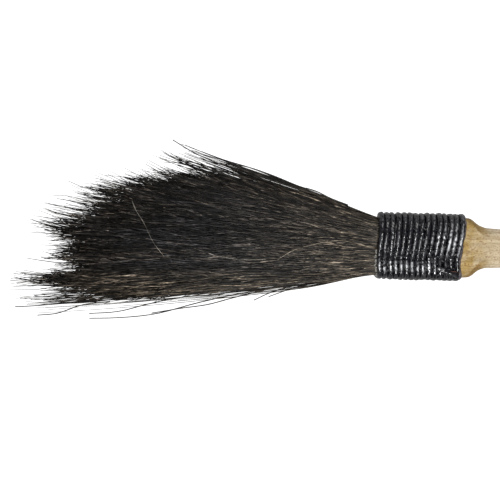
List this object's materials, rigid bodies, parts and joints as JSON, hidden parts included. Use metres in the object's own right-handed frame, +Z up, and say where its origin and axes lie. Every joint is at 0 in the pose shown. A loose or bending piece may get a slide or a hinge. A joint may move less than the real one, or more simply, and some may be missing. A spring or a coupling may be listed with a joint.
{
  "type": "sword-shaped striping and calligraphy brush",
  "caption": "Short brush with a sword-shaped tuft of dark natural hair, bound by waxed black thread to a slim-necked wooden handle that lies flat.",
  "frame": {"origin": "below the middle of the overall box, on the surface that the brush lies on", "axes": "+X along the brush from the hair's tips towards the handle's butt, +Y towards the tuft's short upper edge, +Z up out of the brush's flat side"},
  "size_m": [0.1519, 0.0214, 0.0072],
  "materials": {
    "wood": "pale close-grained wood, smooth and matt at the neck, amber varnish at the shoulder",
    "thread": "black twisted thread soaked with wax and lacquer, glossy in broken streaks",
    "hair": "fine blackish-brown natural hair with a soft lengthwise sheen",
    "root_hair": "brown natural hair, bound and soaked with glue at the root",
    "glue": "clear hardened glue with a whitish bloom",
    "lacquer": "clear amber to purple-grey lacquer, glossy"
  },
  "bodies": {
    "handle": {"handle": "wood", "binding_thread": "thread", "hair_root_face": "root_hair", "hair_root_back": "root_hair", "root_glue": "glue", "front_glue_bead": "glue", "rear_lacquer_bead": "lacquer"},
    "tuft": {"hair_lock_face_1": "hair", "hair_lock_face_2": "hair", "hair_lock_face_3": "hair", "hair_lock_face_4": "hair", "hair_lock_face_5": "hair", "hair_lock_face_6": "hair", "hair_lock_face_7": "hair", "hair_lock_face_8": "hair", "hair_lock_back_1": "hair", "hair_lock_back_2": "hair", "hair_lock_back_3": "hair", "hair_lock_back_4": "hair", "hair_lock_back_5": "hair", "hair_lock_back_6": "hair", "hair_lock_back_7": "hair", "hair_lock_back_8": "hair"}
  },
  "joints": [
    {"name": "tuft_flex", "type": "hinge", "parent": "handle", "child": "tuft", "pos_m": [-0.0245, -0.00135, 0.0036], "axis": [0, 0, 1], "range_deg": [-30, 30], "stiffness_Nm_per_rad": 0.004}
  ]
}
